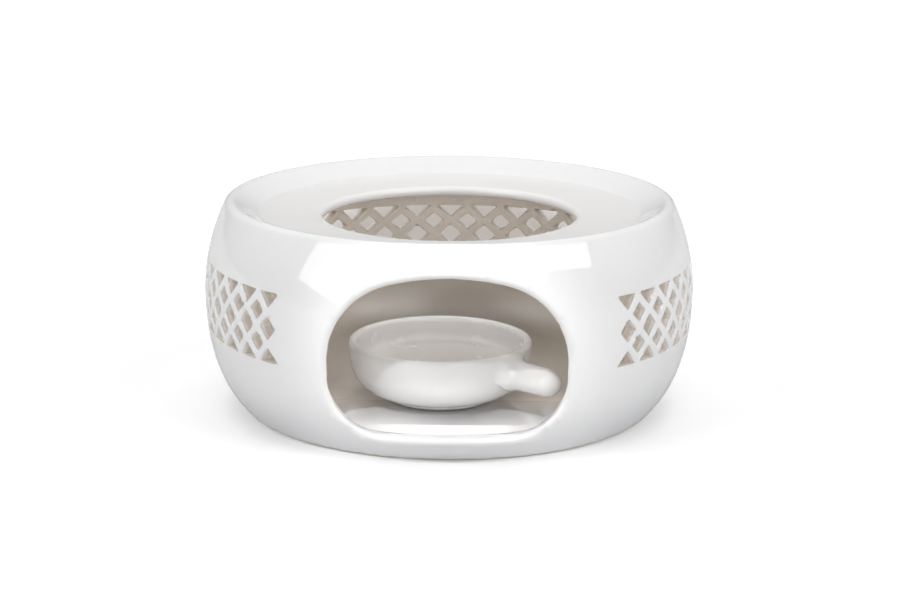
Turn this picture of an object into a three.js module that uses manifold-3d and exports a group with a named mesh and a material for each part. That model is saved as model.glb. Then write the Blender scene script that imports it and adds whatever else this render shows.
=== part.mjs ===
// Teapot warmer: a pierced porcelain drum that holds a teapot above a loose tea light dish.
// Millimetres, +Z up. The front mouth faces -Y and the foot stands on z = 0.
// The drum is drawn about its own axis, and the last lines put the origin under the middle of its box.

import * as THREE from 'three';
import { mergeGeometries, mergeVertices } from 'three/addons/utils/BufferGeometryUtils.js';
import Module from 'manifold-3d';

// Drum wall and floor
const bodyRadius = 75;
const bodyHeight = 64.3;
const bellyHeight = 36.6;
const wall = 4.2;
const floorTop = 6.3;
const floorFillet = 6;
const floorFilletInset = 6;
const floorFilletAngle = THREE.MathUtils.degToRad(-40);
const ceilingFillet = 8;
const ceilingFilletInset = 2.8;
const ceilingFilletAngle = THREE.MathUtils.degToRad(35);

// Foot ring under the drum
const footInset = 12.8;
const footRound = 2;
const footAngle = THREE.MathUtils.degToRad(-45);
const footWidth = 5;
const footRecess = 1.8;

// Rim, and the ledge that the teapot stands on
const rimInset = 8.5;
const rimRound = 2.6;
const rimAngle = THREE.MathUtils.degToRad(25);
const rimSlopeRun = 8;
const ledgeDepth = 5.05;
const ledgeThickness = 3.4;
const ledgeWidth = 20;

// Front mouth, with a sill that keeps the dish in
const mouthWidth = 67.8;
const mouthCrownDrop = 0.8;
const mouthCrownRadius = 60;
const mouthShoulderRadius = 24;
const mouthCornerRadius = 16.5;
const mouthRound = 2.5;
const sillRise = 1.65;

// Pierced lattice: columns of a triangle, a diamond and a triangle, with a pair of diamonds between
const latticePitch = 9.69;
const latticeRise = 4.72;
const midDiamond = { width: 6.1, height: 6.6 };
const pairDiamond = { width: 5.4, height: 5.4 };
const edgeTriangle = { width: 7.1, height: 4.05, base: 10.25 };
const latticeCentre = 36.35;
const sideLatticeFrom = THREE.MathUtils.degToRad(43.8);
const sideLatticeSpan = THREE.MathUtils.degToRad(74);
const backLatticeStretch = 1.23;
const backLatticeSpan = THREE.MathUtils.degToRad(73);
const cutterOverrun = 3;

// Tea light dish
const dishRadius = 27.8;
const dishHeight = 18;
const dishDepth = 7.4;
const dishWall = 2.9;
const dishBase = 5;
const dishFillet = 2.8;
const dishFootRadius = 17;
const dishFootHeight = 0.8;
const dishFootWidth = 3;
const dishFootDraft = 1;
const dishShoulder = 3.5;
const dishFullness = 2.4;
const dishX = -2.45;
const dishY = -19.3;
const seatGap = 0.3;

// Dish handle, which passes the mouth with a clearance when the dish is drawn out
const handleDiameter = 8.8;
const handleDrop = 6.4;
const handleFlare = 3;
const handleTurn = THREE.MathUtils.degToRad(51);
const handleClearance = 0.4;

// Facets
const bodySegments = 60;
const dishSegments = 40;
const handleSegments = 20;
const curveShares = [0, 0.38, 0.6, 0.8, 1];
const arcSteps = 3;
const mouthSteps = 6;
const weld = 1e-4;

// Heights and radii that follow
const innerRadius = bodyRadius - wall;
const crestRadius = bodyRadius - rimInset;
const recessRadius = crestRadius - rimSlopeRun;
const holeRadius = recessRadius - ledgeWidth;
const ledgeTop = bodyHeight - ledgeDepth;
const ledgeUnderside = ledgeTop - ledgeThickness;
const sillTop = floorTop + sillRise;
const mouthCrown = ledgeUnderside - mouthCrownDrop;

const wasm = await Module();
wasm.setup();

const glaze = new THREE.MeshStandardMaterial({ color: 0xf4f3f0, roughness: 0.12, metalness: 0 });

// A closed solid from a geometry, with shared vertices merged and empty triangles dropped
function solid(geometry) {
  const bare = geometry.clone();
  bare.deleteAttribute('normal');
  bare.deleteAttribute('uv');
  const merged = mergeVertices(bare, weld);
  const corners = merged.index.array;
  const triVerts = [];
  for (let i = 0; i < corners.length; i += 3) {
    const [a, b, c] = [corners[i], corners[i + 1], corners[i + 2]];
    if (a !== b && b !== c && c !== a) triVerts.push(a, b, c);
  }
  return new wasm.Manifold(new wasm.Mesh({
    numProp: 3,
    vertProperties: new Float32Array(merged.attributes.position.array),
    triVerts: new Uint32Array(triVerts),
  }));
}

function meshOf(name, body) {
  const result = body.getMesh();
  const geometry = new THREE.BufferGeometry();
  geometry.setAttribute('position', new THREE.BufferAttribute(new Float32Array(result.vertProperties), 3));
  geometry.setIndex(new THREE.BufferAttribute(new Uint32Array(result.triVerts), 1));
  geometry.computeVertexNormals();
  const mesh = new THREE.Mesh(geometry, glaze);
  mesh.name = name;
  return mesh;
}

// A solid of revolution about +Z from a path of (radius, height)
function revolve(points, segments) {
  return solid(new THREE.LatheGeometry(points, segments).rotateX(Math.PI / 2));
}

// Points of a path: lines by their ends, arcs in even steps, and curves in shares of their run
function pathPoints(path) {
  const points = [];
  for (const curve of path.curves) {
    if (curve.isQuadraticBezierCurve) points.push(...curveShares.map((share) => curve.getPoint(share)));
    else points.push(...curve.getPoints(curve.isLineCurve ? 1 : arcSteps));
  }
  return points.filter((p, i) => i === 0 || p.distanceTo(points[i - 1]) > weld);
}

// Where a curve that leaves the widest circle upright meets a rounded corner on its normal angle,
// and the height of the control point that makes it do so
function cornerTangent(radius, corner) {
  const x = corner.x + corner.round * Math.cos(corner.angle);
  const y = corner.y + corner.round * Math.sin(corner.angle);
  return { x, y, control: y - (radius - x) / Math.tan(corner.angle) };
}

// Angle on a rounded corner where a straight line from a lower, inner point touches it
function slopeAngle(corner, x, y) {
  const reach = Math.hypot(x - corner.x, y - corner.y);
  const towards = Math.atan2(y - corner.y, x - corner.x) + 2 * Math.PI;
  return towards - Math.acos(corner.round / reach);
}

// Drum

const footCorner = { x: bodyRadius - footInset, y: footRound, round: footRound, angle: footAngle };
const rimCorner = { x: crestRadius, y: bodyHeight - rimRound, round: rimRound, angle: rimAngle };
const ceilingCorner = {
  x: innerRadius - ceilingFillet - ceilingFilletInset, y: ledgeUnderside - ceilingFillet,
  round: ceilingFillet, angle: ceilingFilletAngle,
};
const floorCorner = {
  x: innerRadius - floorFillet - floorFilletInset, y: floorTop + floorFillet,
  round: floorFillet, angle: floorFilletAngle,
};

function outsidePath(path) {
  const foot = cornerTangent(bodyRadius, footCorner);
  const rim = cornerTangent(bodyRadius, rimCorner);
  path.absarc(footCorner.x, footCorner.y, footRound, -Math.PI / 2, footCorner.angle, false);
  path.quadraticCurveTo(bodyRadius, foot.control, bodyRadius, bellyHeight);
  path.quadraticCurveTo(bodyRadius, rim.control, rim.x, rim.y);
  return path;
}

function drumProfile() {
  const footInner = footCorner.x - footWidth;
  const lipRound = ledgeThickness / 2;
  const ceiling = cornerTangent(innerRadius, ceilingCorner);
  const floor = cornerTangent(innerRadius, floorCorner);
  const slope = slopeAngle(rimCorner, recessRadius, ledgeTop);
  const path = new THREE.Path();
  path.moveTo(0, footRecess);
  path.lineTo(footInner - footRecess, footRecess);
  path.lineTo(footInner, 0);
  path.lineTo(footCorner.x, 0);
  outsidePath(path);
  path.absarc(rimCorner.x, rimCorner.y, rimRound, rimCorner.angle, Math.PI / 2, false);
  path.absarc(rimCorner.x, rimCorner.y, rimRound, Math.PI / 2, slope, false);
  path.lineTo(recessRadius, ledgeTop);
  path.lineTo(holeRadius + lipRound, ledgeTop);
  path.absarc(holeRadius + lipRound, ledgeTop - lipRound, lipRound, Math.PI / 2, 3 * Math.PI / 2, false);
  path.lineTo(ceilingCorner.x, ledgeUnderside);
  path.absarc(ceilingCorner.x, ceilingCorner.y, ceilingFillet, Math.PI / 2, ceilingCorner.angle, true);
  path.quadraticCurveTo(innerRadius, ceiling.control, innerRadius, bellyHeight);
  path.quadraticCurveTo(innerRadius, floor.control, floor.x, floor.y);
  path.absarc(floorCorner.x, floorCorner.y, floorFillet, floorCorner.angle, -Math.PI / 2, true);
  path.lineTo(0, floorTop);
  return pathPoints(path);
}

// Outside radius of the drum at a height
const outsidePoints = pathPoints(outsidePath(new THREE.Path()));

function outsideRadius(height) {
  const upper = outsidePoints.findIndex((p) => p.y >= height);
  const b = outsidePoints[Math.max(upper, 1)];
  const a = outsidePoints[Math.max(upper, 1) - 1];
  return THREE.MathUtils.mapLinear(height, a.y, b.y, a.x, b.x);
}

// Mouth outline grown outwards by an offset: level sill, round corners, round shoulders, arched crown
function mouthOutline(offset) {
  const half = mouthWidth / 2 + offset;
  const shoulder = mouthShoulderRadius + offset;
  const crown = mouthCrownRadius + offset;
  const top = mouthCrown + offset;
  const sill = sillTop - offset;
  const shoulderX = half - shoulder;
  const crownZ = top - crown;
  const shoulderZ = crownZ + Math.sqrt((crown - shoulder) ** 2 - shoulderX ** 2);
  const corner = Math.min(mouthCornerRadius, shoulderZ - sillTop) + offset;
  const turn = Math.atan2(shoulderZ - crownZ, shoulderX);
  const stretches = [
    new THREE.LineCurve(new THREE.Vector2(corner - half, sill), new THREE.Vector2(half - corner, sill)),
    arc(half - corner, sill + corner, corner, -Math.PI / 2, 0),
    arc(shoulderX, shoulderZ, shoulder, 0, turn),
    arc(0, crownZ, crown, turn, Math.PI - turn),
    arc(-shoulderX, shoulderZ, shoulder, Math.PI - turn, Math.PI),
    arc(corner - half, sill + corner, corner, Math.PI, 1.5 * Math.PI),
  ];
  return stretches.flatMap((curve) => curve.getPoints(mouthSteps).slice(0, -1));
}

function arc(x, y, radius, from, to) {
  return new THREE.EllipseCurve(x, y, radius, radius, from, to);
}

// Cutter for the mouth: rings of the outline that flare as they come out through the curved wall
function mouthCutter() {
  const inside = cutterOverrun - Math.sqrt(innerRadius ** 2 - (mouthWidth / 2) ** 2);
  const onWall = (p) => -Math.sqrt(outsideRadius(p.y) ** 2 - p.x ** 2);
  const rounded = (angle) => ({
    offset: mouthRound * (1 - Math.cos(angle)), depth: mouthRound * (1 - Math.sin(angle)),
  });
  const steps = [rounded(0), rounded(Math.PI / 6), rounded(Math.PI / 3)];
  const throat = mouthOutline(0);
  const rings = [throat.map((p) => new THREE.Vector3(p.x, inside, p.y))];
  for (const { offset, depth } of steps) {
    rings.push(mouthOutline(offset).map((p) => new THREE.Vector3(p.x, onWall(p) + depth, p.y)));
  }
  const flare = steps.at(-1).offset + steps.at(-1).depth * Math.tan(Math.PI / 3);
  const flared = mouthOutline(flare);
  rings.push(flared.map((p) => new THREE.Vector3(p.x, onWall(p), p.y)));
  rings.push(flared.map((p) => new THREE.Vector3(p.x, -bodyRadius - cutterOverrun, p.y)));
  return loft(rings);
}

// A closed loft through rings of equal counts, capped flat at both ends
function loft(rings) {
  const count = rings[0].length;
  const positions = rings.flat().flatMap((p) => [p.x, p.y, p.z]);
  const index = [];
  for (let r = 0; r + 1 < rings.length; r += 1) {
    for (let i = 0; i < count; i += 1) {
      const [a, b] = [r * count + i, r * count + (i + 1) % count];
      index.push(a, b, a + count, b, b + count, a + count);
    }
  }
  const flat = rings[0].map((p) => new THREE.Vector2(p.x, p.z));
  const last = (rings.length - 1) * count;
  for (const [a, b, c] of THREE.ShapeUtils.triangulateShape(flat, [])) {
    index.push(a, c, b);
    index.push(last + a, last + b, last + c);
  }
  const geometry = new THREE.BufferGeometry();
  geometry.setAttribute('position', new THREE.Float32BufferAttribute(positions, 3));
  geometry.setIndex(index);
  return solid(geometry);
}

// One pierced hole: a flat outline at a height, run through the wall at an angle from the front
function hole(corners, height, angle) {
  const shape = new THREE.Shape(corners.map(([x, y]) => new THREE.Vector2(x, y)));
  const depth = wall + 2 * cutterOverrun;
  const prism = new THREE.ExtrudeGeometry(shape, { depth, bevelEnabled: false });
  prism.rotateX(Math.PI / 2);
  prism.translate(0, depth - bodyRadius - cutterOverrun, height);
  return prism.rotateZ(angle);
}

function diamond({ width, height }, stretch) {
  const half = stretch * width / 2;
  return [[-half, 0], [0, -height / 2], [half, 0], [0, height / 2]];
}

// A triangle with its flat edge away from the middle of the panel, on the side that sign gives
function triangle({ width, height, base }, stretch, sign) {
  const half = stretch * width / 2;
  const corners = [[-half, base], [0, base - height], [half, base]];
  return sign > 0 ? corners : corners.map(([x, y]) => [x, -y]).reverse();
}

// A panel of pierced columns about a middle angle
function latticePanel(middle, span, stretch) {
  const pitch = stretch * latticePitch / bodyRadius;
  const columns = Math.round(span / pitch) + 1;
  const holes = [];
  for (let i = 0; i < columns; i += 1) {
    const angle = middle + (i - (columns - 1) / 2) * pitch;
    holes.push(hole(diamond(midDiamond, stretch), latticeCentre, angle));
    for (const sign of [1, -1]) {
      holes.push(hole(triangle(edgeTriangle, stretch, sign), latticeCentre, angle));
      if (i + 1 < columns) {
        const height = latticeCentre + sign * latticeRise;
        holes.push(hole(diamond(pairDiamond, stretch), height, angle + pitch / 2));
      }
    }
  }
  return holes;
}

function latticeCutter() {
  const sideMiddle = sideLatticeFrom + sideLatticeSpan / 2;
  const holes = latticePanel(Math.PI, backLatticeSpan, backLatticeStretch);
  for (const sign of [1, -1]) {
    holes.push(...latticePanel(sign * sideMiddle, sideLatticeSpan, 1));
  }
  return solid(mergeGeometries(holes));
}

function warmerBody() {
  const drum = revolve(drumProfile(), bodySegments);
  return meshOf('warmer_body', drum.subtract(mouthCutter()).subtract(latticeCutter()));
}

// Tea light dish

const dishInner = dishRadius - dishWall;
const dishFloor = dishHeight - dishDepth;
const dishRim = dishHeight - dishWall / 2;

function bowlProfile() {
  const footEdge = dishFootRadius - dishFootHeight / 2;
  const footInner = footEdge - dishFootWidth;
  const rimMiddle = dishRadius - dishWall / 2;
  const path = new THREE.Path();
  path.moveTo(0, dishFloor - dishBase);
  path.lineTo(footInner - dishFootDraft, dishFloor - dishBase);
  path.lineTo(footInner, 0);
  path.lineTo(footEdge, 0);
  path.lineTo(dishFootRadius, dishFootHeight);
  path.quadraticCurveTo(dishRadius, dishFootHeight + dishFullness, dishRadius, dishHeight - dishShoulder);
  path.lineTo(dishRadius, dishRim);
  path.absarc(rimMiddle, dishRim, dishWall / 2, 0, Math.PI / 2, false);
  path.absarc(rimMiddle, dishRim, dishWall / 2, Math.PI / 2, Math.PI, false);
  path.lineTo(dishInner, dishFloor + dishFillet);
  path.absarc(dishInner - dishFillet, dishFloor + dishFillet, dishFillet, 0, -Math.PI / 2, true);
  path.lineTo(0, dishFloor);
  return pathPoints(path);
}

// A plug that fills the bowl to the middle of its wall, which trims the handle's root
function bowlPlug() {
  const plug = new THREE.Path();
  plug.moveTo(0, dishFloor - dishBase / 4);
  plug.lineTo(dishRadius - dishWall / 2, dishFloor - dishBase / 4);
  plug.lineTo(dishRadius - dishWall / 2, dishHeight + handleDiameter);
  plug.lineTo(0, dishHeight + handleDiameter);
  return revolve(pathPoints(plug), dishSegments);
}

// A round bar with a flared root and a round end, drawn along +Z and then turned to point outwards
function handleBar() {
  const round = handleDiameter / 2;
  const root = dishInner - dishFillet;
  const neck = dishRadius + handleFlare;
  const end = (mouthWidth / 2 - handleClearance - round - dishX) / Math.sin(handleTurn);
  const path = new THREE.Path();
  path.moveTo(0, root);
  path.lineTo(round + handleFlare, root);
  path.quadraticCurveTo(round, dishRadius, round, neck);
  path.lineTo(round, end);
  path.absarc(0, end, round, 0, Math.PI / 2, false);
  const bar = new THREE.LatheGeometry(pathPoints(path), handleSegments);
  bar.rotateX(Math.PI);
  bar.translate(0, 0, dishHeight - handleDrop);
  return solid(bar.rotateZ(handleTurn));
}

function tealightDish() {
  const bowl = revolve(bowlProfile(), dishSegments);
  const handle = handleBar().subtract(bowlPlug());
  return meshOf('tealight_dish', bowl.add(handle));
}

// Assembly

const warmer = new THREE.Group();
warmer.name = 'teapot_warmer';
warmer.add(warmerBody());

const dish = tealightDish();
dish.position.set(dishX, dishY, floorTop + seatGap);
warmer.add(dish);

// The mouth takes the front off the drum, so the middle of its box lies behind the drum's axis
const box = new THREE.Box3().setFromObject(warmer);
warmer.position.y = -(box.min.y + box.max.y) / 2;

export default warmer;
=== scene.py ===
import math

import bmesh
import bpy
import numpy as np
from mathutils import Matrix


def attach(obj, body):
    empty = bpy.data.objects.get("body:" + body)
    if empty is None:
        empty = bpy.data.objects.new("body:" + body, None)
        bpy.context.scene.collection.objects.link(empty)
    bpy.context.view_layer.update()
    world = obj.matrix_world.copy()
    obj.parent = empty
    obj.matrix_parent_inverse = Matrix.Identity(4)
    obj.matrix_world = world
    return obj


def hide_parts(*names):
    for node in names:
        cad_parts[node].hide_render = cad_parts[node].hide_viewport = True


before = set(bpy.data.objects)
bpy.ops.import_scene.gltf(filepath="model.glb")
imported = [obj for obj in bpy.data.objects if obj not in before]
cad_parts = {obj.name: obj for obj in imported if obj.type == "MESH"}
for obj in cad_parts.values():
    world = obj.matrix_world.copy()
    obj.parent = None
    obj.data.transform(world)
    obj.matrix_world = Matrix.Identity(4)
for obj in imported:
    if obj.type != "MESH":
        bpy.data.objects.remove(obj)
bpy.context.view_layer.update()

import openvdb
from mathutils import Matrix, Quaternion, Vector
from mathutils.kdtree import KDTree

# Teapot warmer: a glazed porcelain drum with pierced panels, and the loose dish for its tea light.
# Shapes are in millimetres until a mesh is made, about the drum's own axis with the mouth towards -Y.

MM = 0.001

# Drum
BODY_RADIUS = 75.0
BODY_HEIGHT = 64.3
BELLY_HEIGHT = 36.6
WALL = 4.2
FLOOR_TOP = 6.3
FLOOR_ROUND = 6.0
FLOOR_INSET = 6.0
FLOOR_ANGLE = math.radians(-40)
FOOT_INSET = 12.8
FOOT_ROUND = 2.0
FOOT_ANGLE = math.radians(-45)
FOOT_WIDTH = 5.0
FOOT_RECESS = 1.8
RIM_INSET = 8.5
RIM_ROUND = 2.6
RIM_ANGLE = math.radians(25)
RIM_SLOPE_RUN = 8.0
LEDGE_DEPTH = 5.05
LEDGE_THICKNESS = 3.4
LEDGE_WIDTH = 20.0
LEDGE_LEAN = 0.85
LEDGE_FILLET = 3.0
CEILING_ROUND = 8.0
CEILING_INSET = 2.8
CEILING_ANGLE = math.radians(35)

# Front mouth, whose edge is sharper inside than outside
MOUTH_WIDTH = 67.8
MOUTH_CROWN_DROP = 0.8
MOUTH_CROWN_RADIUS = 60.0
MOUTH_SHOULDER_RADIUS = 24.0
MOUTH_CORNER_RADIUS = 16.5
MOUTH_ROUND = 2.5
MOUTH_INNER_ROUND = 0.5
MOUTH_ROUND_BACK = 3.0
MOUTH_ROUND_FRONT = 1.2
SILL_RISE = 1.65
SILL_ROUND_HEIGHT = 6.0
SILL_ROUND_FROM = 63.0
SILL_ROUND_TO = 66.5

# Pierced panels: a diamond is given by its width and height, a triangle also by the height of its base
PANEL_CENTRE = 36.35
PITCH = 9.69
RISE = 4.72
MID_DIAMOND = (6.1, 6.6)
PAIR_DIAMOND = (5.4, 5.4)
TRIANGLE = (7.1, 4.05, 10.25)
SIDE_FROM = math.radians(43.8)
SIDE_SPAN = math.radians(74)
BACK_SPAN = math.radians(73)
BACK_STRETCH = 1.23
HOLE_CORNER = 0.55
HOLE_ROUND = 0.5

# Dish
DISH_RADIUS = 27.8
DISH_HEIGHT = 18.0
DISH_DEPTH = 7.4
DISH_WALL = 2.9
DISH_BASE = 5.0
DISH_FILLET = 2.8
DISH_FOOT_RADIUS = 17.0
DISH_FOOT_HEIGHT = 0.8
DISH_FOOT_WIDTH = 3.0
DISH_FOOT_DRAFT = 1.0
DISH_SHOULDER = 3.5
DISH_FULLNESS = 2.4
DISH_LIFT = 0.3
DISH_AT = (-2.45, -19.3, FLOOR_TOP + DISH_LIFT)

# Handle of the dish: its root and the start of its blend are shares of the dish's wall
HANDLE_RADIUS = 4.4
HANDLE_DROP = 6.4
HANDLE_TURN = math.radians(51)
HANDLE_CLEARANCE = 0.4
HANDLE_ROOT = 0.6
HANDLE_BLEND = 5.0
HANDLE_BLEND_LEAST = 0.05
HANDLE_BLEND_FROM = 0.8
HANDLE_BLEND_PAST = 0.5

# Fineness of the meshes
CURVE_STEP = 0.1
LEAST_ARC_POINTS = 10
NODES_AT_ONCE = 2000
BLOCKS_AT_ONCE = 1000
SAME_POINT = 1e-6
NO_LENGTH = 1e-9
DRUM_VOXEL = 0.4
DISH_VOXEL = 0.3
DRUM_MERGE = 0.2
DISH_MERGE = 0.05
BAND_VOXELS = 3
HALF_DIAGONAL = 0.87
SETTLE_ROUNDS = 3
SETTLE_STEP = 0.6
LEAST_SLOPE = 0.05
SPLITS = 2
SPLIT_LENGTH = 1.6
SPLIT_BEND = math.radians(2.5)
SPLIT_UNDER_LEDGE = 1.2
BOX_MARGIN = 2.0
EDGE_BEND = (0.15, 0.9)

# How far each surface lies inside its nominal shape
SKIN = 0.13

# Heights and radii that follow
INNER_RADIUS = BODY_RADIUS - WALL
CREST_RADIUS = BODY_RADIUS - RIM_INSET
RECESS_RADIUS = CREST_RADIUS - RIM_SLOPE_RUN
HOLE_RADIUS = RECESS_RADIUS - LEDGE_WIDTH
LEDGE_TOP = BODY_HEIGHT - LEDGE_DEPTH
LEDGE_UNDERSIDE = LEDGE_TOP - LEDGE_THICKNESS
SILL_TOP = FLOOR_TOP + SILL_RISE
MOUTH_CROWN = LEDGE_UNDERSIDE - MOUTH_CROWN_DROP
FOOT_X = BODY_RADIUS - FOOT_INSET
RIM_Y = BODY_HEIGHT - RIM_ROUND
CEILING_X = INNER_RADIUS - CEILING_ROUND - CEILING_INSET
CEILING_Y = LEDGE_UNDERSIDE - CEILING_ROUND
FLOOR_X = INNER_RADIUS - FLOOR_ROUND - FLOOR_INSET
FLOOR_Y = FLOOR_TOP + FLOOR_ROUND
DISH_INNER = DISH_RADIUS - DISH_WALL
DISH_FLOOR = DISH_HEIGHT - DISH_DEPTH
DISH_RIM = DISH_HEIGHT - DISH_WALL / 2

# Outlines run a little past the axis, so that no edge of theirs lies on it
PAST_AXIS = -6.0

# A distance that stands for far away from any hole
FAR_AWAY = BODY_RADIUS

# The drum's axis in the row frame, in metres
AXIS_Y = -0.001772


# Curves

def line(p, q):
    count = max(2, int(math.dist(p, q) / CURVE_STEP) + 1)
    return np.linspace(p, q, count)


def arc(x, y, radius, start, end):
    count = max(LEAST_ARC_POINTS, int(abs(end - start) * radius / CURVE_STEP) + 1)
    t = np.linspace(start, end, count)
    return np.stack([x + radius * np.cos(t), y + radius * np.sin(t)], 1)


def curve(p, control, q):
    count = int((math.dist(p, control) + math.dist(control, q)) / CURVE_STEP) + 1
    t = np.linspace(0, 1, count)[:, None]
    return (1 - t) ** 2 * np.array(p) + 2 * t * (1 - t) * np.array(control) + t ** 2 * np.array(q)


def joined(*runs):
    """Runs of points as one closed loop, with no point twice in a row."""
    points = np.concatenate(runs)
    apart = np.hypot(*(points - np.roll(points, 1, 0)).T)
    return points[apart > SAME_POINT]


class Outline:
    """A closed curve with its solid on the left, and signed distances that are negative inside."""

    def __init__(self, points, cell=0.4, margin=6.0, reach=7):
        self.start = points
        self.along = np.roll(points, -1, 0) - points
        self.square = (self.along ** 2).sum(1)
        self.cell = cell
        self.reach = reach
        self.low = points.min(0) - margin
        span = points.max(0) + margin - self.low
        self.shape = np.ceil(span / cell).astype(int) + 1
        i, j = np.meshgrid(np.arange(self.shape[0]), np.arange(self.shape[1]), indexing="ij")
        nodes = self.low + cell * np.stack([i.ravel(), j.ravel()], 1)
        nearest = [
            ((part[:, None, :] - points[None]) ** 2).sum(2).argmin(1)
            for part in np.array_split(nodes, max(1, len(nodes) // NODES_AT_ONCE))
        ]
        self.nearest = np.concatenate(nearest).reshape(self.shape)

    def distance(self, x, y):
        i = np.clip(np.rint((x - self.low[0]) / self.cell).astype(int), 0, self.shape[0] - 1)
        j = np.clip(np.rint((y - self.low[1]) / self.cell).astype(int), 0, self.shape[1] - 1)
        base = self.nearest[i, j]
        best = np.full(x.shape, np.inf)
        side = np.zeros(x.shape)
        for step in range(-self.reach, self.reach + 1):
            k = (base + step) % len(self.start)
            px = x - self.start[k, 0]
            py = y - self.start[k, 1]
            dx = self.along[k, 0]
            dy = self.along[k, 1]
            t = np.clip((px * dx + py * dy) / self.square[k], 0, 1)
            ex = px - t * dx
            ey = py - t * dy
            far = ex * ex + ey * ey
            closer = far < best
            best = np.where(closer, far, best)
            side = np.where(closer, ex * dy - ey * dx, side)
        return np.copysign(np.sqrt(best), side)


def tangent(radius, x, y, rounding, angle):
    """Point on a rounded corner at an angle, and the control point of the curve from the widest circle."""
    px = x + rounding * math.cos(angle)
    py = y + rounding * math.sin(angle)
    return (px, py), (radius, py - (radius - px) / math.tan(angle))


# Drum shape

def drum_outline():
    foot_inner = FOOT_X - FOOT_WIDTH
    lip = LEDGE_THICKNESS / 2
    foot, foot_control = tangent(BODY_RADIUS, FOOT_X, FOOT_ROUND, FOOT_ROUND, FOOT_ANGLE)
    rim, rim_control = tangent(BODY_RADIUS, CREST_RADIUS, RIM_Y, RIM_ROUND, RIM_ANGLE)
    ceiling, ceiling_control = tangent(INNER_RADIUS, CEILING_X, CEILING_Y, CEILING_ROUND, CEILING_ANGLE)
    floor, floor_control = tangent(INNER_RADIUS, FLOOR_X, FLOOR_Y, FLOOR_ROUND, FLOOR_ANGLE)
    crease_y = LEDGE_TOP + LEDGE_LEAN
    reach = math.dist((RECESS_RADIUS, crease_y), (CREST_RADIUS, RIM_Y))
    towards = math.atan2(crease_y - RIM_Y, RECESS_RADIUS - CREST_RADIUS) + 2 * math.pi
    slope = towards - math.acos(RIM_ROUND / reach)
    crest = arc(CREST_RADIUS, RIM_Y, RIM_ROUND, RIM_ANGLE, slope)
    steep = slope - math.pi / 2
    lean = math.atan2(LEDGE_LEAN, RECESS_RADIUS - HOLE_RADIUS - lip)
    fillet_reach = LEDGE_FILLET * math.tan((steep - lean) / 2)
    fillet_x = RECESS_RADIUS - fillet_reach * math.cos(lean) - LEDGE_FILLET * math.sin(lean)
    fillet_y = crease_y - fillet_reach * math.sin(lean) + LEDGE_FILLET * math.cos(lean)
    fillet = arc(fillet_x, fillet_y, LEDGE_FILLET, steep - math.pi / 2, lean - math.pi / 2)
    edge = arc(HOLE_RADIUS + lip, LEDGE_TOP - lip, lip, math.pi / 2 + lean, 1.5 * math.pi)
    return Outline(joined(
        line((PAST_AXIS, FOOT_RECESS), (foot_inner - FOOT_RECESS, FOOT_RECESS)),
        line((foot_inner - FOOT_RECESS, FOOT_RECESS), (foot_inner, 0)),
        line((foot_inner, 0), (FOOT_X, 0)),
        arc(FOOT_X, FOOT_ROUND, FOOT_ROUND, -math.pi / 2, FOOT_ANGLE),
        curve(foot, foot_control, (BODY_RADIUS, BELLY_HEIGHT)),
        curve((BODY_RADIUS, BELLY_HEIGHT), rim_control, rim),
        crest,
        line(tuple(crest[-1]), tuple(fillet[0])),
        fillet,
        line(tuple(fillet[-1]), tuple(edge[0])),
        edge,
        line((HOLE_RADIUS + lip, LEDGE_UNDERSIDE), (CEILING_X, LEDGE_UNDERSIDE)),
        arc(CEILING_X, CEILING_Y, CEILING_ROUND, math.pi / 2, CEILING_ANGLE),
        curve(ceiling, ceiling_control, (INNER_RADIUS, BELLY_HEIGHT)),
        curve((INNER_RADIUS, BELLY_HEIGHT), floor_control, floor),
        arc(FLOOR_X, FLOOR_Y, FLOOR_ROUND, FLOOR_ANGLE, -math.pi / 2),
        line((FLOOR_X, FLOOR_TOP), (PAST_AXIS, FLOOR_TOP)),
    ))


def mouth_outline():
    half = MOUTH_WIDTH / 2
    shoulder_x = half - MOUTH_SHOULDER_RADIUS
    crown_z = MOUTH_CROWN - MOUTH_CROWN_RADIUS
    shoulder_z = crown_z + math.sqrt((MOUTH_CROWN_RADIUS - MOUTH_SHOULDER_RADIUS) ** 2 - shoulder_x ** 2)
    corner = min(MOUTH_CORNER_RADIUS, shoulder_z - SILL_TOP)
    turn = math.atan2(shoulder_z - crown_z, shoulder_x)
    return Outline(joined(
        line((corner - half, SILL_TOP), (half - corner, SILL_TOP)),
        arc(half - corner, SILL_TOP + corner, corner, -math.pi / 2, 0),
        line((half, SILL_TOP + corner), (half, shoulder_z)),
        arc(shoulder_x, shoulder_z, MOUTH_SHOULDER_RADIUS, 0, turn),
        arc(0, crown_z, MOUTH_CROWN_RADIUS, turn, math.pi - turn),
        arc(-shoulder_x, shoulder_z, MOUTH_SHOULDER_RADIUS, math.pi - turn, math.pi),
        line((-half, shoulder_z), (-half, SILL_TOP + corner)),
        arc(corner - half, SILL_TOP + corner, corner, math.pi, 1.5 * math.pi),
    ))


DRUM = drum_outline()
MOUTH = mouth_outline()


def rounded(planes, corner):
    """Distance to a convex shape from its planes, with round corners."""
    grown = [p + corner for p in planes]
    outside = np.sqrt(sum(np.maximum(g, 0) ** 2 for g in grown))
    inside = np.minimum(np.maximum.reduce(grown), 0)
    return outside + inside - corner


def diamond(x, z, size, stretch):
    a = stretch * size[0] / 2
    b = size[1] / 2
    n = math.hypot(a, b)
    return rounded([(sx * x * b + sz * z * a - a * b) / n for sx in (1, -1) for sz in (1, -1)], HOLE_CORNER)


def triangle(x, z, size, stretch):
    width, height, base = size
    a = stretch * width / 2
    n = math.hypot(a, height)
    sides = [(s * x * height - (z - base + height) * a) / n for s in (1, -1)]
    return rounded([z - base, *sides], HOLE_CORNER)


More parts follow.
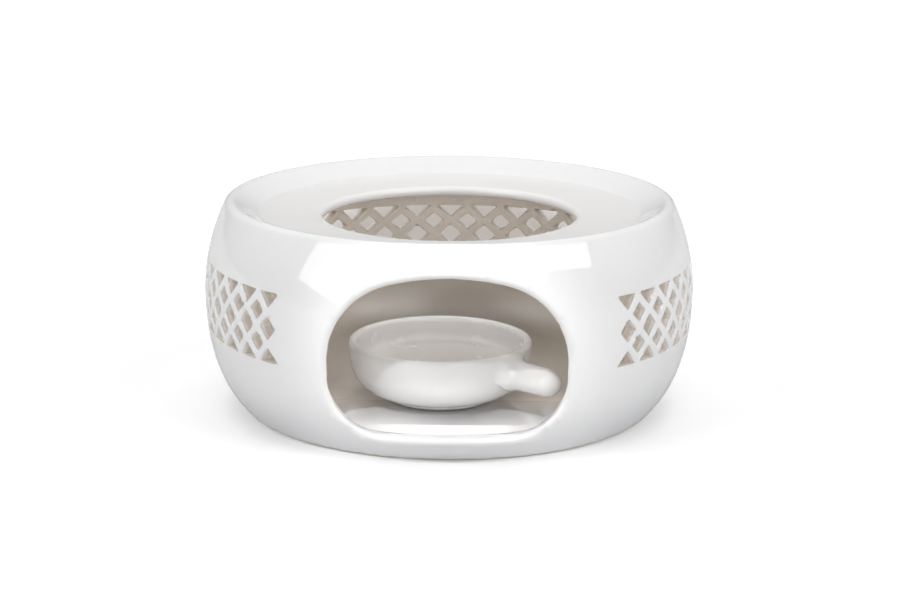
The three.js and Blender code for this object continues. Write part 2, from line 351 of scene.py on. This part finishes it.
def panel(angle, r, up, middle, span, stretch):
    """Distance to the holes of one pierced panel, by the columns nearest in angle."""
    pitch = stretch * PITCH / BODY_RADIUS
    columns = round(span / pitch) + 1
    turn = (angle - middle + math.pi) % (2 * math.pi) - math.pi
    place = turn / pitch + (columns - 1) / 2
    whole = np.clip(np.rint(place), 0, columns - 1)
    between = np.clip(np.rint(place - 0.5), 0, columns - 2) + 0.5
    x = r * np.sin((place - whole) * pitch)
    near = np.minimum(diamond(x, up, MID_DIAMOND, stretch), triangle(x, up, TRIANGLE, stretch))
    near = np.minimum(near, triangle(x, -up, TRIANGLE, stretch))
    x = r * np.sin((place - between) * pitch)
    for rise in (RISE, -RISE):
        near = np.minimum(near, diamond(x, up - rise, PAIR_DIAMOND, stretch))
    return np.where(np.abs(turn) < math.pi / 2, near, FAR_AWAY)


def lattice(x, y, z):
    """Distance to the holes of all three panels."""
    angle = np.arctan2(x, -y)
    r = np.hypot(x, y)
    side = SIDE_FROM + SIDE_SPAN / 2
    up = z - PANEL_CENTRE
    near = panel(angle, r, up, math.pi, BACK_SPAN, BACK_STRETCH)
    for sign in (1, -1):
        near = np.minimum(near, panel(angle, r, up, sign * side, SIDE_SPAN, 1.0))
    return near


def ramp(value, low, high):
    """A smooth step from 0 at one value to 1 at the other."""
    t = np.clip((value - low) / (high - low), 0, 1)
    return t * t * (3 - 2 * t)


def cut(solid, hole, rounding):
    """A solid less a hole, with its new edge rounded."""
    u = np.maximum(rounding + solid, 0)
    v = np.maximum(rounding - hole, 0)
    return np.minimum(-rounding, np.maximum(solid, -hole)) + np.hypot(u, v)


def near_only(where, function, *values):
    """A function's values where it matters, and a far one elsewhere."""
    result = np.full(where.shape, FAR_AWAY)
    result[where] = function(*[v[where] for v in values])
    return result


def drum_field(p):
    """Signed distance to the drum's surface."""
    x, y, z = p.T
    r = np.hypot(x, y)
    wall = DRUM.distance(r, z)
    at_mouth = (y < -HOLE_RADIUS) & (np.abs(x) < MOUTH_WIDTH / 2 + 2 * MOUTH_ROUND)
    mouth = near_only(at_mouth, MOUTH.distance, x, z)
    at_panels = (r > INNER_RADIUS - WALL) & (np.abs(z - PANEL_CENTRE) < TRIANGLE[2] + WALL)
    holes = near_only(at_panels, lattice, x, y, z)
    outer = ramp(r, INNER_RADIUS - MOUTH_ROUND_BACK, INNER_RADIUS + MOUTH_ROUND_FRONT)
    low = ramp(z, SILL_TOP + SILL_ROUND_HEIGHT, SILL_TOP)
    outer = np.maximum(outer, low * ramp(r, SILL_ROUND_FROM, SILL_ROUND_TO))
    edge = MOUTH_INNER_ROUND + (MOUTH_ROUND - MOUTH_INNER_ROUND) * outer
    body = cut(wall, mouth, edge)
    return cut(body, holes, HOLE_ROUND) + SKIN


# Dish shape

def dish_outline():
    foot = DISH_FOOT_RADIUS - DISH_FOOT_HEIGHT / 2
    foot_inner = foot - DISH_FOOT_WIDTH
    under = DISH_FLOOR - DISH_BASE
    foot_top = (DISH_FOOT_RADIUS, DISH_FOOT_HEIGHT)
    shoulder = (DISH_RADIUS, DISH_HEIGHT - DISH_SHOULDER)
    return Outline(joined(
        line((PAST_AXIS, under), (foot_inner - DISH_FOOT_DRAFT, under)),
        line((foot_inner - DISH_FOOT_DRAFT, under), (foot_inner, 0)),
        line((foot_inner, 0), (foot, 0)),
        line((foot, 0), foot_top),
        curve(foot_top, (DISH_RADIUS, DISH_FOOT_HEIGHT + DISH_FULLNESS), shoulder),
        line(shoulder, (DISH_RADIUS, DISH_RIM)),
        arc(DISH_RADIUS - DISH_WALL / 2, DISH_RIM, DISH_WALL / 2, 0, math.pi),
        line((DISH_INNER, DISH_RIM), (DISH_INNER, DISH_FLOOR + DISH_FILLET)),
        arc(DISH_INNER - DISH_FILLET, DISH_FLOOR + DISH_FILLET, DISH_FILLET, 0, -math.pi / 2),
        line((DISH_INNER - DISH_FILLET, DISH_FLOOR), (PAST_AXIS, DISH_FLOOR)),
    ))


DISH = dish_outline()


def dish_field(p):
    """Signed distance to the dish's surface, where the handle runs softly into the bowl."""
    x, y, z = (p - np.array(DISH_AT)).T
    r = np.hypot(x, y)
    bowl = DISH.distance(r, z)
    reach = (MOUTH_WIDTH / 2 - HANDLE_CLEARANCE - HANDLE_RADIUS - DISH_AT[0]) / math.sin(HANDLE_TURN)
    along = x * math.sin(HANDLE_TURN) - y * math.cos(HANDLE_TURN)
    across = x * math.cos(HANDLE_TURN) + y * math.sin(HANDLE_TURN)
    past = along - np.clip(along, DISH_INNER, reach)
    bar = np.sqrt(past ** 2 + across ** 2 + (z - DISH_HEIGHT + HANDLE_DROP) ** 2) - HANDLE_RADIUS
    bar = np.maximum(bar, DISH_RADIUS - HANDLE_ROOT * DISH_WALL - r)
    outer = ramp(r, DISH_RADIUS - HANDLE_BLEND_FROM * DISH_WALL, DISH_RADIUS + HANDLE_BLEND_PAST)
    soft = HANDLE_BLEND_LEAST + HANDLE_BLEND * outer
    h = np.maximum(soft - np.abs(bowl - bar), 0) / soft
    return np.minimum(bowl, bar) - h * h * soft / 4 + SKIN


# Meshes

def gradient(field, p, step=0.02):
    columns = []
    for axis in range(3):
        shift = np.zeros(3)
        shift[axis] = step
        columns.append((field(p + shift) - field(p - shift)) / (2 * step))
    return np.stack(columns, 1)


def sampled(field, low, high, voxel, block=8):
    """The field on a grid, worked out only in blocks that the surface can pass through."""
    size = np.ceil((high - low) / (voxel * block)).astype(int)
    edge = voxel * block
    i, j, k = np.meshgrid(*[np.arange(n) for n in size], indexing="ij")
    corners = np.stack([i.ravel(), j.ravel(), k.ravel()], 1)
    middle = field(low + (corners + 0.5) * edge - voxel / 2)
    band = BAND_VOXELS * voxel
    grid = np.empty([n * block for n in size], np.float32)
    a, b, c = np.meshgrid(*[np.arange(block)] * 3, indexing="ij")
    inner = np.stack([a.ravel(), b.ravel(), c.ravel()], 1)
    near = np.abs(middle) < edge * HALF_DIAGONAL + band
    for corner, value in zip(corners[~near] * block, middle[~near]):
        grid[tuple(slice(s, s + block) for s in corner)] = math.copysign(band, value)
    live = corners[near] * block
    for part in np.array_split(live, max(1, len(live) // BLOCKS_AT_ONCE)):
        index = part[:, None, :] + inner[None]
        values = field(low + voxel * index.reshape(-1, 3))
        values = np.clip(values, -band, band).reshape(-1, block, block, block)
        for corner, value in zip(part, values):
            grid[tuple(slice(s, s + block) for s in corner)] = value
    return grid


def convexity(field, p, step=0.7):
    """How sharply the surface bends outwards, in radians per millimetre."""
    total = -6 * field(p)
    for axis in range(3):
        shift = np.zeros(3)
        shift[axis] = step
        total += field(p + shift) + field(p - shift)
    return total / step ** 2


def settled(field, p, voxel):
    """Points moved onto a field's surface."""
    for _ in range(SETTLE_ROUNDS):
        slope = gradient(field, p)
        square = np.maximum((slope ** 2).sum(1), LEAST_SLOPE)
        move = -(field(p) / square)[:, None] * slope
        far = np.linalg.norm(move, axis=1, keepdims=True)
        p = p + move * np.minimum(1, SETTLE_STEP * voxel / np.maximum(far, NO_LENGTH))
    return p


def facing(field, p):
    """Unit vectors straight out of a field's surface."""
    normals = gradient(field, p)
    return normals / np.maximum(np.linalg.norm(normals, axis=1, keepdims=True), NO_LENGTH)


def refined(field, p, faces, voxel, over):
    """The mesh with its long edges over a height halved wherever the surface bends along them."""
    rough = bpy.data.meshes.new("rough")
    rough.from_pydata(p.tolist(), [], faces)
    for _ in range(SPLITS):
        form = bmesh.new()
        form.from_mesh(rough)
        normals = facing(field, p)
        form.edges.ensure_lookup_table()
        ends = np.array([[v.index for v in e.verts] for e in form.edges])
        length = np.linalg.norm(p[ends[:, 0]] - p[ends[:, 1]], axis=1)
        bend = (normals[ends[:, 0]] * normals[ends[:, 1]]).sum(1)
        high = p[ends, 2].mean(1) > over
        pick = np.nonzero(high & (length > SPLIT_LENGTH * voxel) & (bend < math.cos(SPLIT_BEND)))[0]
        bmesh.ops.subdivide_edges(form, edges=[form.edges[i] for i in pick], cuts=1, use_grid_fill=True)
        form.to_mesh(rough)
        form.free()
        p = settled(field, np.array([v.co for v in rough.vertices]), voxel)
    faces = [list(f.vertices) for f in rough.polygons]
    bpy.data.meshes.remove(rough)
    return p, faces


def mark_points(mesh, name, values):
    attribute = mesh.attributes.new(name, "FLOAT", "POINT")
    attribute.data.foreach_set("value", values)


def skin(name, field, box, voxel, merge, refine_over):
    """A smooth closed mesh of a field's surface, in metres in the row frame, with its edges marked."""
    low, high = np.array(box, float)
    grid = openvdb.FloatGrid(BAND_VOXELS * voxel)
    grid.copyFromArray(sampled(field, low, high, voxel))
    grid.transform = openvdb.createLinearTransform(voxelSize=voxel)
    points, triangles, quads = grid.convertToPolygons(isovalue=0.0, adaptivity=merge)
    p = settled(field, low + points.astype(float), voxel)
    faces = [*triangles.tolist(), *quads.tolist()]
    a, b, c = p[quads[:, 0]], p[quads[:, 1]], p[quads[:, 2]]
    if (np.cross(b - a, c - a) * facing(field, a)).sum() < 0:
        faces = [f[::-1] for f in faces]
    p, faces = refined(field, p, faces, voxel, refine_over)
    mesh = bpy.data.meshes.new(name)
    mesh.from_pydata((p * MM + np.array((0, AXIS_Y, 0))).tolist(), [], faces)
    mesh.shade_smooth()
    mesh.normals_split_custom_set_from_vertices(facing(field, p).tolist())
    mark_points(mesh, "edge", ramp(convexity(field, p), *EDGE_BEND))
    piece = bpy.data.objects.new(name, mesh)
    bpy.context.scene.collection.objects.link(piece)
    return piece, p


# Space that holds each piece, from its lowest to its highest corner
DRUM_REACH = BODY_RADIUS + BOX_MARGIN
DRUM_BOX = (
    (-DRUM_REACH, -DRUM_REACH, -BOX_MARGIN),
    (DRUM_REACH, DRUM_REACH, BODY_HEIGHT + BOX_MARGIN),
)
DISH_BOX = np.array(DISH_AT) + ((-30, -34, -2), (40, 30, 20))

# The drum is refined from just under its ledge upwards, and the dish, which is lower, nowhere
drum, drum_points = skin("drum", drum_field, DRUM_BOX, DRUM_VOXEL, DRUM_MERGE, LEDGE_TOP - SPLIT_UNDER_LEDGE)
dish, dish_points = skin("dish", dish_field, DISH_BOX, DISH_VOXEL, DISH_MERGE, BODY_HEIGHT)

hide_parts("warmer_body")
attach(drum, "drum")
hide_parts("tealight_dish")
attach(dish, "dish")


# Painted shade and tint inside the pieces, and painted light on the drum's floor: each pair is the depth,
# height, radius or Y where the paint starts and where it is full

INNER_SHADE = 0.5
HOLE_SHADE = 0.9
LEDGE_SHADE = 0.08
WALL_DEPTH = (0.6, 0.75 * WALL)
WALL_HEIGHT = (FLOOR_TOP + 2, FLOOR_TOP + 16)
WALL_Y = (-48, -8)
DEEP_HEIGHT = (32, 14)
DEEP_Y = (-45, -5)
HOLE_DEPTH = (0.6, 1.6)
HOLE_END = (WALL, WALL - 1)
HOLE_Y = (-60, -55)
LEDGE_EDGE = (RECESS_RADIUS + 0.5, RECESS_RADIUS - 1.5)
BOWL_DEPTH = (0.5, 0.8 * DISH_WALL)
BOWL_EDGE = (DISH_RADIUS + 0.5, DISH_RADIUS - 0.5)
# Painted light on the drum's floor in front of the dish
PAINTED_LIGHT_TOP = (FLOOR_TOP + 2, FLOOR_TOP + 0.3)
PAINTED_LIGHT_UNDER = (FLOOR_TOP - 2, FLOOR_TOP - 1)
PAINTED_LIGHT_Y = (-38, -50)
PAINTED_LIGHT_DEPTH = (2, 4)


def depth_behind(outer, r, z):
    """How far points lie behind the outer skin, which is the part of an outline before its inner edge."""
    tree = KDTree(len(outer))
    for i, (x, y) in enumerate(outer):
        tree.insert((x, y, 0), i)
    tree.balance()
    return np.array([tree.find((a, b, 0))[2] for a, b in zip(r, z)])


def drum_depths():
    """How far the drum's points lie behind its skin from the foot up to the hole's lip."""
    x, y, z = drum_points.T
    high = DRUM.start[:, 1] > LEDGE_UNDERSIDE
    lip = np.argmin(np.where(high, DRUM.start[:, 0], BODY_RADIUS))
    return depth_behind(DRUM.start[:lip], np.hypot(x, y), z)


def drum_painted_shade(depth):
    """Painted shade inside the drum: 0 outside, a little on the ledge, half on the inner wall, most in the
    holes and 1 low at the back, where it is deepest.
    """
    x, y, z = drum_points.T
    away = np.maximum(ramp(z, *WALL_HEIGHT), ramp(y, *WALL_Y))
    deep_shade = ramp(z, *DEEP_HEIGHT) * ramp(y, *DEEP_Y)
    wall = ramp(depth, *WALL_DEPTH) * away * (INNER_SHADE + (1 - INNER_SHADE) * deep_shade)
    hole = ramp(depth, *HOLE_DEPTH) * ramp(depth, *HOLE_END) * ramp(y, *HOLE_Y)
    hole = hole * ramp(z, LEDGE_UNDERSIDE, MOUTH_CROWN)
    ledge = ramp(z, LEDGE_UNDERSIDE, LEDGE_TOP) * ramp(np.hypot(x, y), *LEDGE_EDGE)
    return np.maximum(np.maximum(wall, HOLE_SHADE * hole), LEDGE_SHADE * ledge)


def drum_painted_light(depth):
    """1 on the drum's floor in front of the dish: a painted pool of the light that falls in through the
    mouth.
    """
    x, y, z = drum_points.T
    level = ramp(z, *PAINTED_LIGHT_TOP) * ramp(z, *PAINTED_LIGHT_UNDER)
    return level * ramp(y, *PAINTED_LIGHT_Y) * ramp(depth, *PAINTED_LIGHT_DEPTH)


def dish_painted_shade():
    """0 outside, and the inner amount of painted shade inside the bowl."""
    x, y, z = (dish_points - np.array(DISH_AT)).T
    rim = np.argmax(DISH.start[:, 1])
    depth = depth_behind(DISH.start[:rim], np.hypot(x, y), z)
    return INNER_SHADE * ramp(depth, *BOWL_DEPTH) * ramp(np.hypot(x, y), *BOWL_EDGE)


drum_depth = drum_depths()
# Painted shade and a warm tint on the drum's inside
mark_points(drum.data, "painted_shade_mix", drum_painted_shade(drum_depth))
# Painted pool of light on the drum's floor in front of the dish
mark_points(drum.data, "painted_light", drum_painted_light(drum_depth))
# Painted shade in the dish's bowl
mark_points(dish.data, "painted_shade_mix", dish_painted_shade())


# Materials

class Surface:
    """A material, with short ways to add the nodes that feed its shader."""

    def __init__(self, name):
        self.material = bpy.data.materials.new(name)
        self.material.use_nodes = True
        self.nodes = self.material.node_tree.nodes
        self.links = self.material.node_tree.links
        self.shader = self.nodes["Principled BSDF"]
        self.place = self.nodes.new("ShaderNodeTexCoord").outputs["Object"]

    def noise(self, scale, detail):
        node = self.nodes.new("ShaderNodeTexNoise")
        node.inputs["Scale"].default_value = scale
        node.inputs["Detail"].default_value = detail
        self.links.new(self.place, node.inputs["Vector"])
        return node.outputs["Fac"]

    def mark(self, title):
        """The values marked on a mesh's points, or 0 where the mesh has no such mark."""
        node = self.nodes.new("ShaderNodeAttribute")
        node.attribute_name = title
        return node.outputs["Fac"]

    def ranged(self, value, low, high, to_low=0.0, to_high=1.0):
        """A smooth step from one range of values to another."""
        node = self.nodes.new("ShaderNodeMapRange")
        node.interpolation_type = "SMOOTHSTEP"
        node.inputs["From Min"].default_value = low
        node.inputs["From Max"].default_value = high
        node.inputs["To Min"].default_value = to_low
        node.inputs["To Max"].default_value = to_high
        self.links.new(value, node.inputs["Value"])
        return node.outputs["Result"]

    def maths(self, operation, a, b):
        node = self.nodes.new("ShaderNodeMath")
        node.operation = operation
        self.links.new(a, node.inputs[0])
        self.links.new(b, node.inputs[1])
        return node.outputs["Value"]

    def distance(self, place, centre):
        node = self.nodes.new("ShaderNodeVectorMath")
        node.operation = "DISTANCE"
        node.inputs[1].default_value = centre
        self.links.new(place, node.inputs[0])
        return node.outputs["Value"]

    def mixed(self, factor, a, b, blend="MIX"):
        """Two colours, each a tuple or another node's, mixed by a factor."""
        node = self.nodes.new("ShaderNodeMix")
        node.data_type = "RGBA"
        node.blend_type = blend
        self.links.new(factor, node.inputs["Factor"])
        for key, value in (("A", a), ("B", b)):
            if isinstance(value, tuple):
                node.inputs[key].default_value = (*value, 1)
            else:
                self.links.new(value, node.inputs[key])
        return node.outputs["Result"]

    def bumped(self, pattern, distance, strength, under=None):
        """A bump by a pattern, laid over another bump where one is given."""
        node = self.nodes.new("ShaderNodeBump")
        node.inputs["Distance"].default_value = distance
        node.inputs["Strength"].default_value = strength
        self.links.new(pattern, node.inputs["Height"])
        if under:
            self.links.new(under, node.inputs["Normal"])
        return node.outputs["Normal"]


# Glaze

# Colours outside, inside and deep inside, where the dish has no deep colour of its own. Inside and deep
# inside are painted: in the drum a paler warm colour for the warm light within and a darker one for its
# shade low at the back, in the dish a darker one for the shade in its bowl.
DISH_SHADED_INSIDE = (0.67, 0.648, 0.628)
DISH_COLOURS_AND_SHADE = ((0.71, 0.707, 0.703), DISH_SHADED_INSIDE, DISH_SHADED_INSIDE)
DRUM_COLOURS_AND_SHADE = ((0.68, 0.68, 0.683), (0.91, 0.845, 0.775), (0.62, 0.57, 0.51))

# A noise is given by its scale and detail, and a bump by its distance in metres and its strength
# Painted light: the colour of the lit floor in front of the dish
PAINTED_LIGHT = (0.9, 0.893, 0.89)
CLOUD = (0.975, 0.977, 0.98)
CLOUD_NOISE = (26, 3)
CLOUD_RANGE = (0.35, 0.65)
SPECK = (0.93, 0.91, 0.88)
SPECK_NOISE = (1400, 2)
SPECK_RANGE = (0.68, 0.8)
EDGE = (0.985, 0.978, 0.968)
# Painted shade: the lower drum a little darker and cooler towards the foot
FOOT_SHADE = (0.95, 0.953, 0.965)
BISCUIT = (0.74, 0.69, 0.61)
GLOSS_NOISE = (70, 3)
GLOSS_RANGE = (0.3, 0.7)
GLOSS_ROUGHNESS = (0.03, 0.055)
INNER_RANGE = (0.1, 0.6)
INNER_ROUGHNESS = (0.0, 0.25)
EDGE_RANGE = (0.2, 1.0)
EDGE_ROUGHNESS = (0.0, 0.06)
BARE_RANGE = (0.0, 1.0)
BARE_ROUGHNESS = (0.0, 0.55)
GLAZE_IOR = 1.62
WAVE_NOISE = (75, 1)
WAVE_BUMP = (0.0003, 0.25)
PEEL_NOISE = (520, 2)
PEEL_BUMP = (0.00002, 0.12)

# Heights over the table, in metres, over which the painted shade low on the drum fades out, and where the
# glaze ends
FOOT_GLAZE = 0.004
FOOT_SHADE_HEIGHT = (FOOT_GLAZE, 5 * FOOT_GLAZE)
BARE_HEIGHT = (FOOT_GLAZE / 6, FOOT_GLAZE / 5)


def glaze(name, colours, bare_foot):
    """White porcelain under a clear, slightly wavy glaze that is thin along sharp edges, with painted shade
    inside and near the drum's foot and painted light on the drum's floor.
    """
    outside, inside, deep_shade = colours
    surface = Surface(name)
    # Painted shade: the outside colour, the paler warm inside at the inner share, and the darker deep inside
    # at full
    shade_ramp = surface.nodes.new("ShaderNodeValToRGB")
    shade_ramp.color_ramp.elements[0].color = (*outside, 1)
    shade_ramp.color_ramp.elements[1].color = (*deep_shade, 1)
    shade_ramp.color_ramp.elements.new(INNER_SHADE).color = (*inside, 1)
    surface.links.new(surface.mark("painted_shade_mix"), shade_ramp.inputs["Fac"])
    # Painted light on the drum's floor in front of the dish
    colour = surface.mixed(surface.mark("painted_light"), shade_ramp.outputs["Color"], PAINTED_LIGHT)
    cloud = surface.ranged(surface.noise(*CLOUD_NOISE), *CLOUD_RANGE)
    colour = surface.mixed(cloud, colour, CLOUD, "MULTIPLY")
    speck = surface.ranged(surface.noise(*SPECK_NOISE), *SPECK_RANGE)
    colour = surface.mixed(speck, colour, SPECK, "MULTIPLY")
    thin = surface.mark("edge")
    colour = surface.mixed(thin, colour, EDGE, "MULTIPLY")

    gloss = surface.ranged(surface.noise(*GLOSS_NOISE), *GLOSS_RANGE, *GLOSS_ROUGHNESS)
    inner = surface.ranged(surface.mark("painted_shade_mix"), *INNER_RANGE, *INNER_ROUGHNESS)
    gloss = surface.maths("ADD", gloss, inner)
    gloss = surface.maths("ADD", gloss, surface.ranged(thin, *EDGE_RANGE, *EDGE_ROUGHNESS))

    if bare_foot:
        split = surface.nodes.new("ShaderNodeSeparateXYZ")
        surface.links.new(surface.place, split.inputs["Vector"])
        height = split.outputs["Z"]
        # Painted shade: darker towards the foot, full below the first height and gone above the second
        foot_shade = surface.ranged(height, *FOOT_SHADE_HEIGHT, 1.0, 0.0)
        colour = surface.mixed(foot_shade, colour, FOOT_SHADE, "MULTIPLY")
        bare = surface.ranged(height, *BARE_HEIGHT, 1.0, 0.0)
        colour = surface.mixed(bare, colour, BISCUIT)
        gloss = surface.maths("ADD", gloss, surface.ranged(bare, *BARE_RANGE, *BARE_ROUGHNESS))

    waves = surface.bumped(surface.noise(*WAVE_NOISE), *WAVE_BUMP)
    peel = surface.bumped(surface.noise(*PEEL_NOISE), *PEEL_BUMP, waves)
    surface.links.new(colour, surface.shader.inputs["Base Color"])
    surface.links.new(gloss, surface.shader.inputs["Roughness"])
    surface.links.new(peel, surface.shader.inputs["Normal"])
    surface.shader.inputs["IOR"].default_value = GLAZE_IOR
    return surface.material


drum.data.materials.append(glaze("drum glaze", DRUM_COLOURS_AND_SHADE, True))
dish.data.materials.append(glaze("dish glaze", DISH_COLOURS_AND_SHADE, False))


# Floor that the drum stands on, in metres

STAGE_HALF = 6.0
STAGE_PAPER = (0.62, 0.62, 0.62)
STAGE_ROUGHNESS = 0.8
STAGE_SPECULAR = 0.05
# Painted shade round the foot: the glow grows from the first strength to the second between these distances
# from its centre
GLOW_CENTRE = (0, -0.006, 0)
GLOW_DISTANCE = (0.057, 0.073)
GLOW_STRENGTH = (0.12, 0.4)
SHADE_PAPER = (0.44, 0.4, 0.37)
SHADE_CENTRE = (0, 0.225, 0)
SHADE_SPREAD = (0.092, 0.15, 1)
SHADE_EDGE = (0.4, 1.0)


def floor_material():
    """White paper with a faint glow that only the camera sees, weaker near the foot so that it paints shade
    round it, and a soft warm shade behind the drum.
    """
    surface = Surface("floor")
    around = surface.nodes.new("ShaderNodeMapping")
    around.vector_type = "TEXTURE"
    around.inputs["Location"].default_value = SHADE_CENTRE
    around.inputs["Scale"].default_value = SHADE_SPREAD
    surface.links.new(surface.place, around.inputs["Vector"])
    painted_shade_mix = surface.ranged(surface.distance(around.outputs["Vector"], (0, 0, 0)), *SHADE_EDGE)
    glow = surface.ranged(surface.distance(surface.place, GLOW_CENTRE), *GLOW_DISTANCE, *GLOW_STRENGTH)
    path = surface.nodes.new("ShaderNodeLightPath")
    for part in (painted_shade_mix, path.outputs["Is Camera Ray"]):
        glow = surface.maths("MULTIPLY", glow, part)
    surface.links.new(surface.mixed(painted_shade_mix, SHADE_PAPER, STAGE_PAPER), surface.shader.inputs["Base Color"])
    surface.links.new(glow, surface.shader.inputs["Emission Strength"])
    surface.shader.inputs["Emission Color"].default_value = (1, 1, 1, 1)
    surface.shader.inputs["Roughness"].default_value = STAGE_ROUGHNESS
    surface.shader.inputs["Specular IOR Level"].default_value = STAGE_SPECULAR
    return surface.material


floor_corners = [(x * STAGE_HALF, y * STAGE_HALF, 0) for x, y in ((-1, -1), (1, -1), (1, 1), (-1, 1))]
floor_mesh = bpy.data.meshes.new("floor")
floor_mesh.from_pydata(floor_corners, [], [(0, 1, 2, 3)])
floor = bpy.data.objects.new("floor", floor_mesh)
bpy.context.scene.collection.objects.link(floor)
floor_mesh.materials.append(floor_material())


# Light, in metres and degrees

SKY_GLOW = 1.3
SKY_LOW = 0.3
SKY_HIGH = 1.3
SKY_FULL = 0.85
BOX_DISTANCE = 5.0
BOX_RADIANCE = 2.6
SIDE_RADIANCE = 3.3
FRONT_RADIANCE = 4.2
TOP_RADIANCE = 1.1
BACK_TOP_RADIANCE = 1.85
BACK_RADIANCE = 1.2
MOUTH_LIGHT_AZIMUTH = -4
MOUTH_LIGHT_DISTANCE = 1.2
MOUTH_LIGHT_AIM = (-0.051, 0.0085)
MOUTH_LIGHT_ANGLE = 2.4
MOUTH_LIGHT_SIZE = 0.01
MIDDLE_HEIGHT = BODY_HEIGHT / 2 * MM

scene = bpy.context.scene
scene.view_settings.view_transform = "Standard"


def sky():
    """A sky, brighter overhead, that lights nothing matt and shows as a mirror image in the glaze."""
    world = bpy.data.worlds.new("studio")
    world.use_nodes = True
    nodes = world.node_tree.nodes
    links = world.node_tree.links
    place = nodes.new("ShaderNodeTexCoord")
    split = nodes.new("ShaderNodeSeparateXYZ")
    overhead = nodes.new("ShaderNodeMapRange")
    overhead.inputs["From Max"].default_value = SKY_FULL
    overhead.inputs["To Min"].default_value = SKY_LOW
    overhead.inputs["To Max"].default_value = SKY_HIGH
    links.new(place.outputs["Generated"], split.inputs["Vector"])
    links.new(split.outputs["Z"], overhead.inputs["Value"])
    links.new(overhead.outputs["Result"], nodes["Background"].inputs["Color"])
    nodes["Background"].inputs["Strength"].default_value = SKY_GLOW
    scene.world = world
    world.cycles_visibility.diffuse = False


def direction(azimuth, elevation):
    """The way out from the drum, by degrees to the right of the front and degrees up."""
    a = math.radians(azimuth)
    e = math.radians(elevation)
    return Vector((math.sin(a) * math.cos(e), -math.cos(a) * math.cos(e), math.sin(e)))


def hang(lamp, target, way, distance, mirrored, turn=0):
    """Hangs a lamp out from its target, facing it: either mirrored in the glaze, or lighting it."""
    piece = bpy.data.objects.new(lamp.name, lamp)
    piece.location = Vector(target) + way * distance
    piece.rotation_mode = "QUATERNION"
    turned = Quaternion((0, 0, 1), math.radians(turn))
    piece.rotation_quaternion = (-way).to_track_quat("-Z", "Y") @ turned
    piece.visible_glossy = mirrored
    piece.visible_diffuse = not mirrored
    scene.collection.objects.link(piece)


def softbox(name, azimuth, elevation, width, height, radiance, mirrored, turn=0):
    """A large panel towards the middle of the drum."""
    lamp = bpy.data.lights.new(name, "AREA")
    lamp.shape = "RECTANGLE"
    lamp.size = width
    lamp.size_y = height
    lamp.energy = radiance * math.pi * width * height
    hang(lamp, (0, 0, MIDDLE_HEIGHT), direction(azimuth, elevation), BOX_DISTANCE, mirrored, turn)


def mouth_light(across, rise, power):
    """A narrow lamp for one place on the sill and the drum's floor behind it."""
    lamp = bpy.data.lights.new("mouth light", "SPOT")
    lamp.spot_size = math.radians(MOUTH_LIGHT_ANGLE)
    lamp.spot_blend = 1
    lamp.shadow_soft_size = MOUTH_LIGHT_SIZE
    lamp.energy = power
    way = direction(MOUTH_LIGHT_AZIMUTH, rise)
    hang(lamp, (across, *MOUTH_LIGHT_AIM), way, MOUTH_LIGHT_DISTANCE, False)


sky()

# Panels by degrees right and up, width, height, radiance, whether they are mirrored, and their own turn
softbox("left box", -53, 25, 3.1, 3.4, BOX_RADIANCE, True, -17)
softbox("right box", 35, 32, 2.9, 3.0, BOX_RADIANCE, True, -26)
softbox("right strip", 61, 30, 2.4, 1.7, BOX_RADIANCE, True, -12)
softbox("left fill", -74, 32, 4.0, 4.0, SIDE_RADIANCE, False)
softbox("right fill", 68, 34, 4.0, 4.0, SIDE_RADIANCE, False)
softbox("front fill", 3, 9, 5.8, 1.9, FRONT_RADIANCE, False)
softbox("top panel", 180, 85, 3.4, 3.4, TOP_RADIANCE, False)
softbox("back top", 180, 62, 4.0, 3.0, BACK_TOP_RADIANCE, False)
softbox("back left", -125, 25, 3.4, 3.0, BACK_RADIANCE, False)
softbox("back right", 125, 25, 3.4, 3.0, BACK_RADIANCE, False)

# Mouth lights by the X of their aim, degrees up and power
mouth_light(-0.024, 50, 36)
mouth_light(0.001, 66, 52)
mouth_light(0.027, 50, 32)


# Camera, in metres and degrees

DISTANCE = 0.7
ELEVATION = 14.284
AZIMUTH = 0.3
ROLL = 0.348
AIM = (0.0003, -0.00078)
SENSOR_WIDTH = 36
LENS = 90.51

bearing = math.radians(AZIMUTH)
tilt = math.radians(ROLL)
back = direction(AZIMUTH, ELEVATION)
level = Vector((math.cos(bearing), math.sin(bearing), 0))
upright = back.cross(level)
right = level * math.cos(tilt) + upright * math.sin(tilt)
up = upright * math.cos(tilt) - level * math.sin(tilt)
at = Vector((0, AXIS_Y, MIDDLE_HEIGHT)) + level * AIM[0] + upright * AIM[1] + back * DISTANCE
camera_data = bpy.data.cameras.new("camera")
camera_data.sensor_width = SENSOR_WIDTH
camera_data.lens = LENS
camera = bpy.data.objects.new("camera", camera_data)
camera.matrix_world = Matrix([(right[i], up[i], back[i], at[i]) for i in range(3)] + [(0, 0, 0, 1)])
scene.collection.objects.link(camera)
scene.camera = camera
